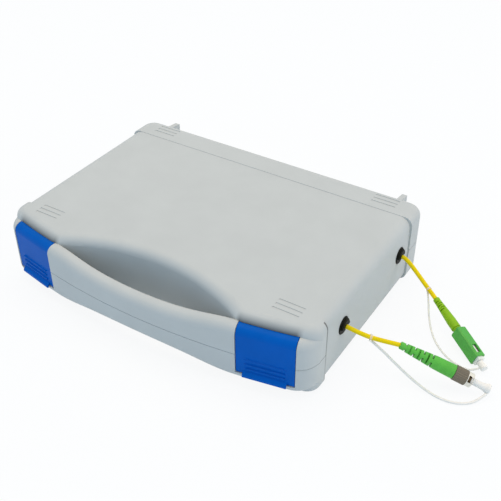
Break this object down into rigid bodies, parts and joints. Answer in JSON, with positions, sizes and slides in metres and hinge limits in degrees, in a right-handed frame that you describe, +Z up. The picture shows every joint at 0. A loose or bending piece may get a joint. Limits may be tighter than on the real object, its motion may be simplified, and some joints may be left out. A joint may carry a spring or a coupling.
{
  "type": "fibre launch cable box",
  "caption": "Shallow hinged plastic case with a bowed handle and snap latches, holding a coiled length of fibre whose two capped plug tails leave through rubber grommets in its side.",
  "frame": {"origin": "bottom face, under the middle of the case's box with its rear feet, cords left out", "axes": "+X to the side where the tails leave, +Y to the hinge, +Z up"},
  "size_m": [0.3391, 0.193, 0.054],
  "materials": {
    "case_grey": "fine satin moulded",
    "latch_blue": "satin moulded",
    "grommet_black": "soft matte",
    "foam_black": "open-cell foam",
    "fibre_natural": "coated fibre",
    "strap_black": "hook-and-loop strap",
    "tray_white": "moulded",
    "sleeve_clear": "shrunk tube",
    "cable_yellow": "smooth jacket",
    "boot_green": "satin moulded",
    "boot_lime": "satin moulded",
    "housing_green": "satin moulded",
    "metal_nickel": "nickel plate",
    "spring_steel": "bright wire",
    "ferrule_white": "polished ceramic",
    "cap_clear": "milky soft plastic"
  },
  "bodies": {
    "base": {"bottom_shell": "case_grey", "foam_pad": "foam_black"},
    "lid": {"top_shell": "case_grey", "front_grommet": "grommet_black", "rear_grommet": "grommet_black", "foam_tray": "foam_black", "fibre_coil": "fibre_natural", "coil_ties": "strap_black", "front_splice_tray": "tray_white", "rear_splice_tray": "tray_white", "front_splice_sleeve": "sleeve_clear", "rear_splice_sleeve": "sleeve_clear", "front_fibre_lead": "fibre_natural", "rear_fibre_lead": "fibre_natural", "front_tail": "cable_yellow", "rear_tail": "cable_yellow", "fc_boot": "boot_green", "fc_crimp_sleeve": "metal_nickel", "fc_body": "metal_nickel", "fc_spring": "spring_steel", "fc_tether": "cap_clear", "sc_boot": "boot_lime", "sc_crimp_sleeve": "metal_nickel", "sc_inner_body": "housing_green", "sc_spring": "spring_steel", "sc_tether": "cap_clear"},
    "left_latch": {"left_latch": "latch_blue"},
    "right_latch": {"right_latch": "latch_blue"},
    "fc_nut": {"fc_coupling_nut": "metal_nickel"},
    "fc_ferrule": {"fc_ferrule": "ferrule_white"},
    "fc_cap": {"fc_cap": "cap_clear"},
    "sc_housing": {"sc_housing": "housing_green"},
    "sc_ferrule": {"sc_ferrule": "ferrule_white"},
    "sc_cap": {"sc_cap": "cap_clear"}
  },
  "joints": [
    {"name": "lid_hinge", "type": "hinge", "parent": "base", "child": "lid", "pos_m": [0, 0.0907, 0.027], "axis": [-1, 0, 0], "range_deg": [0, 110]},
    {"name": "left_latch_pivot", "type": "hinge", "parent": "lid", "child": "left_latch", "pos_m": [-0.09416, -0.08042, 0.042], "axis": [-0.9817, 0.1906, 0], "range_deg": [0, 70]},
    {"name": "right_latch_pivot", "type": "hinge", "parent": "lid", "child": "right_latch", "pos_m": [0.09416, -0.08042, 0.042], "axis": [-0.9817, -0.1906, 0], "range_deg": [0, 70]},
    {"name": "fc_nut_turn", "type": "hinge", "parent": "lid", "child": "fc_nut", "pos_m": [0.19721, -0.01726, 0.01028], "axis": [0.9211, 0.2126, -0.326], "continuous": true},
    {"name": "fc_ferrule_float", "type": "slide", "parent": "lid", "child": "fc_ferrule", "axis": [0.9211, 0.2126, -0.326], "range_m": [-0.0008, 0], "stiffness_N_per_m": 40, "deforming": ["fc_spring"]},
    {"name": "fc_cap_pull", "type": "slide", "parent": "lid", "child": "fc_cap", "axis": [0.9211, 0.2126, -0.326], "range_m": [0, 0.008]},
    {"name": "sc_housing_slide", "type": "slide", "parent": "lid", "child": "sc_housing", "axis": [0.7968, -0.5759, -0.183], "range_m": [-0.0012, 0]},
    {"name": "sc_ferrule_float", "type": "slide", "parent": "lid", "child": "sc_ferrule", "axis": [0.7968, -0.5759, -0.183], "range_m": [-0.0008, 0], "stiffness_N_per_m": 40, "deforming": ["sc_spring"]},
    {"name": "sc_cap_pull", "type": "slide", "parent": "lid", "child": "sc_cap", "axis": [0.7968, -0.5759, -0.183], "range_m": [0, 0.007]}
  ]
}
